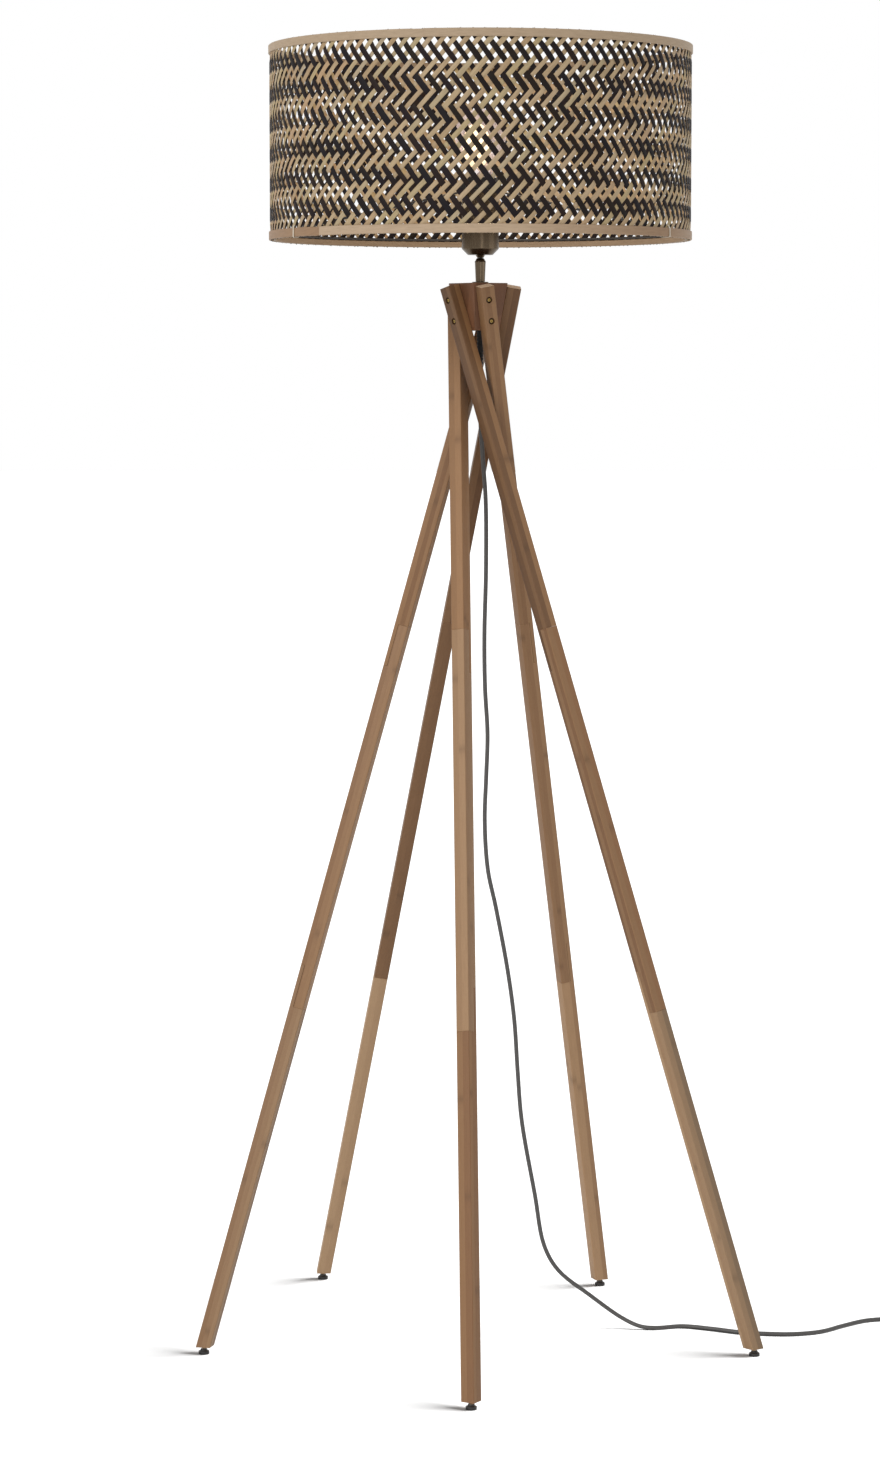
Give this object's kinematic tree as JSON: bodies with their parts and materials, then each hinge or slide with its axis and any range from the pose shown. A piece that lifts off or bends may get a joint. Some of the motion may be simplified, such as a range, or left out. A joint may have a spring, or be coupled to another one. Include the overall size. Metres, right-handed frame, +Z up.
{
  "type": "floor lamp",
  "caption": "Floor lamp: woven drum shade with open top and bottom on a metal lampholder, carried by crossed leaning bamboo legs, with a cord, foot switch and plug.",
  "frame": {"origin": "on the floor, at the middle of the box round the lamp without its cord", "axes": "+Z up; -Y towards the front leg and the viewer; +X to the right, where the cord leaves"},
  "size_m": [1.0011, 0.6496, 1.5146],
  "materials": {
    "bamboo": "stained and satin lacquered laminated bamboo",
    "rim_bamboo": "split bamboo strip, satin",
    "woven_bamboo": "twill woven strips, black and natural",
    "bronzed_metal": "turned, dark bronzed",
    "zinc_steel": "zinc plated",
    "white_enamel": "enamelled wire",
    "contact_brass": "bright",
    "bulb_nickel": "rolled thread, nickel plated",
    "bulb_glass": "pearl glass, lit",
    "bakelite": "moulded",
    "glide_plastic": "moulded",
    "cord_sheath": "satin sheath",
    "switch_plastic": "moulded, fine texture"
  },
  "bodies": {
    "stand": {"leg_right_rear_upper": "bamboo", "leg_right_rear_middle": "bamboo", "leg_right_rear_lower": "bamboo", "leg_left_rear_upper": "bamboo", "leg_left_rear_middle": "bamboo", "leg_left_rear_lower": "bamboo", "leg_left_upper": "bamboo", "leg_left_middle": "bamboo", "leg_left_lower": "bamboo", "leg_front_upper": "bamboo", "leg_front_middle": "bamboo", "leg_front_lower": "bamboo", "leg_right_upper": "bamboo", "leg_right_middle": "bamboo", "leg_right_lower": "bamboo", "hub_block": "bamboo", "hub_screw_right_rear_1": "bronzed_metal", "hub_screw_right_rear_2": "bronzed_metal", "hub_screw_left_rear_1": "bronzed_metal", "hub_screw_left_rear_2": "bronzed_metal", "hub_screw_left_1": "bronzed_metal", "hub_screw_left_2": "bronzed_metal", "hub_screw_front_1": "bronzed_metal", "hub_screw_front_2": "bronzed_metal", "hub_screw_right_1": "bronzed_metal", "hub_screw_right_2": "bronzed_metal", "glide_nail_right_rear": "zinc_steel", "glide_nail_left_rear": "zinc_steel", "glide_nail_left": "zinc_steel", "glide_nail_front": "zinc_steel", "glide_nail_right": "zinc_steel", "stem_washer": "bronzed_metal", "stem": "bronzed_metal", "threaded_tube": "zinc_steel", "hub_nut": "zinc_steel", "holder_cup": "bronzed_metal", "socket_insert": "bakelite", "centre_contact": "contact_brass", "inner_lead": "cord_sheath", "strain_relief": "bakelite", "cord_free": "cord_sheath", "cord_coil": "cord_sheath", "switch_housing": "switch_plastic", "plug_body": "switch_plastic", "plug_pins": "contact_brass"},
    "shade": {"woven_wall": "woven_bamboo", "bottom_rim_strip": "rim_bamboo", "top_rim_strip": "rim_bamboo", "bottom_rim_liner": "rim_bamboo", "top_rim_liner": "rim_bamboo", "shade_fitter": "white_enamel"},
    "clamp_ring": {"clamp_ring": "bakelite"},
    "bulb_cap": {"bulb_cap": "bulb_nickel"},
    "bulb_glass": {"bulb_glass": "bulb_glass"},
    "switch_button": {"switch_button": "switch_plastic"},
    "glide_pad_right_rear": {"glide_pad_right_rear": "glide_plastic"},
    "glide_pad_left_rear": {"glide_pad_left_rear": "glide_plastic"},
    "glide_pad_left": {"glide_pad_left": "glide_plastic"},
    "glide_pad_front": {"glide_pad_front": "glide_plastic"},
    "glide_pad_right": {"glide_pad_right": "glide_plastic"}
  },
  "joints": [
    {"name": "shade_turn", "type": "hinge", "parent": "stand", "child": "shade", "pos_m": [0.00053, 0.03297, 1.3469], "axis": [0, 0, 1], "continuous": true},
    {"name": "clamp_ring_turn", "type": "hinge", "parent": "stand", "child": "clamp_ring", "pos_m": [0.00053, 0.03297, 1.3519], "axis": [0, 0, 1], "range_deg": [0, 720]},
    {"name": "bulb_lift", "type": "slide", "parent": "stand", "child": "bulb_cap", "axis": [0, 0, 1], "range_m": [0, 0.022]},
    {"name": "bulb_turn", "type": "hinge", "parent": "bulb_cap", "child": "bulb_glass", "pos_m": [0.00053, 0.03297, 1.4113], "axis": [0, 0, 1], "range_deg": [0, 2160]},
    {"name": "switch_press", "type": "slide", "parent": "stand", "child": "switch_button", "axis": [0, 0, -1], "range_m": [0, 0.0025], "stiffness_N_per_m": 400},
    {"name": "glide_right_rear_tilt", "type": "hinge", "parent": "stand", "child": "glide_pad_right_rear", "pos_m": [0.15136, 0.28352, 0.0048], "axis": [-0.8938, 0.4485, 0], "range_deg": [-10, 10]},
    {"name": "glide_left_rear_tilt", "type": "hinge", "parent": "stand", "child": "glide_pad_left_rear", "pos_m": [-0.19664, 0.31532, 0.0048], "axis": [-0.7748, -0.6322, 0], "range_deg": [-10, 10]},
    {"name": "glide_left_tilt", "type": "hinge", "parent": "stand", "child": "glide_pad_left", "pos_m": [-0.31994, -0.06936, 0.0048], "axis": [0.375, -0.927, 0], "range_deg": [-10, 10]},
    {"name": "glide_front_tilt", "type": "hinge", "parent": "stand", "child": "glide_pad_front", "pos_m": [-0.0083, -0.31532, 0.0048], "axis": [0.9988, 0.0492, 0], "range_deg": [-10, 10]},
    {"name": "glide_right_tilt", "type": "hinge", "parent": "stand", "child": "glide_pad_right", "pos_m": [0.31994, -0.07261, 0.0048], "axis": [0.2415, 0.9704, 0], "range_deg": [-10, 10]}
  ],
  "couplings": [
    {"joint": "bulb_lift", "follows": "bulb_turn", "m_per_rad": 0.00057757}
  ]
}
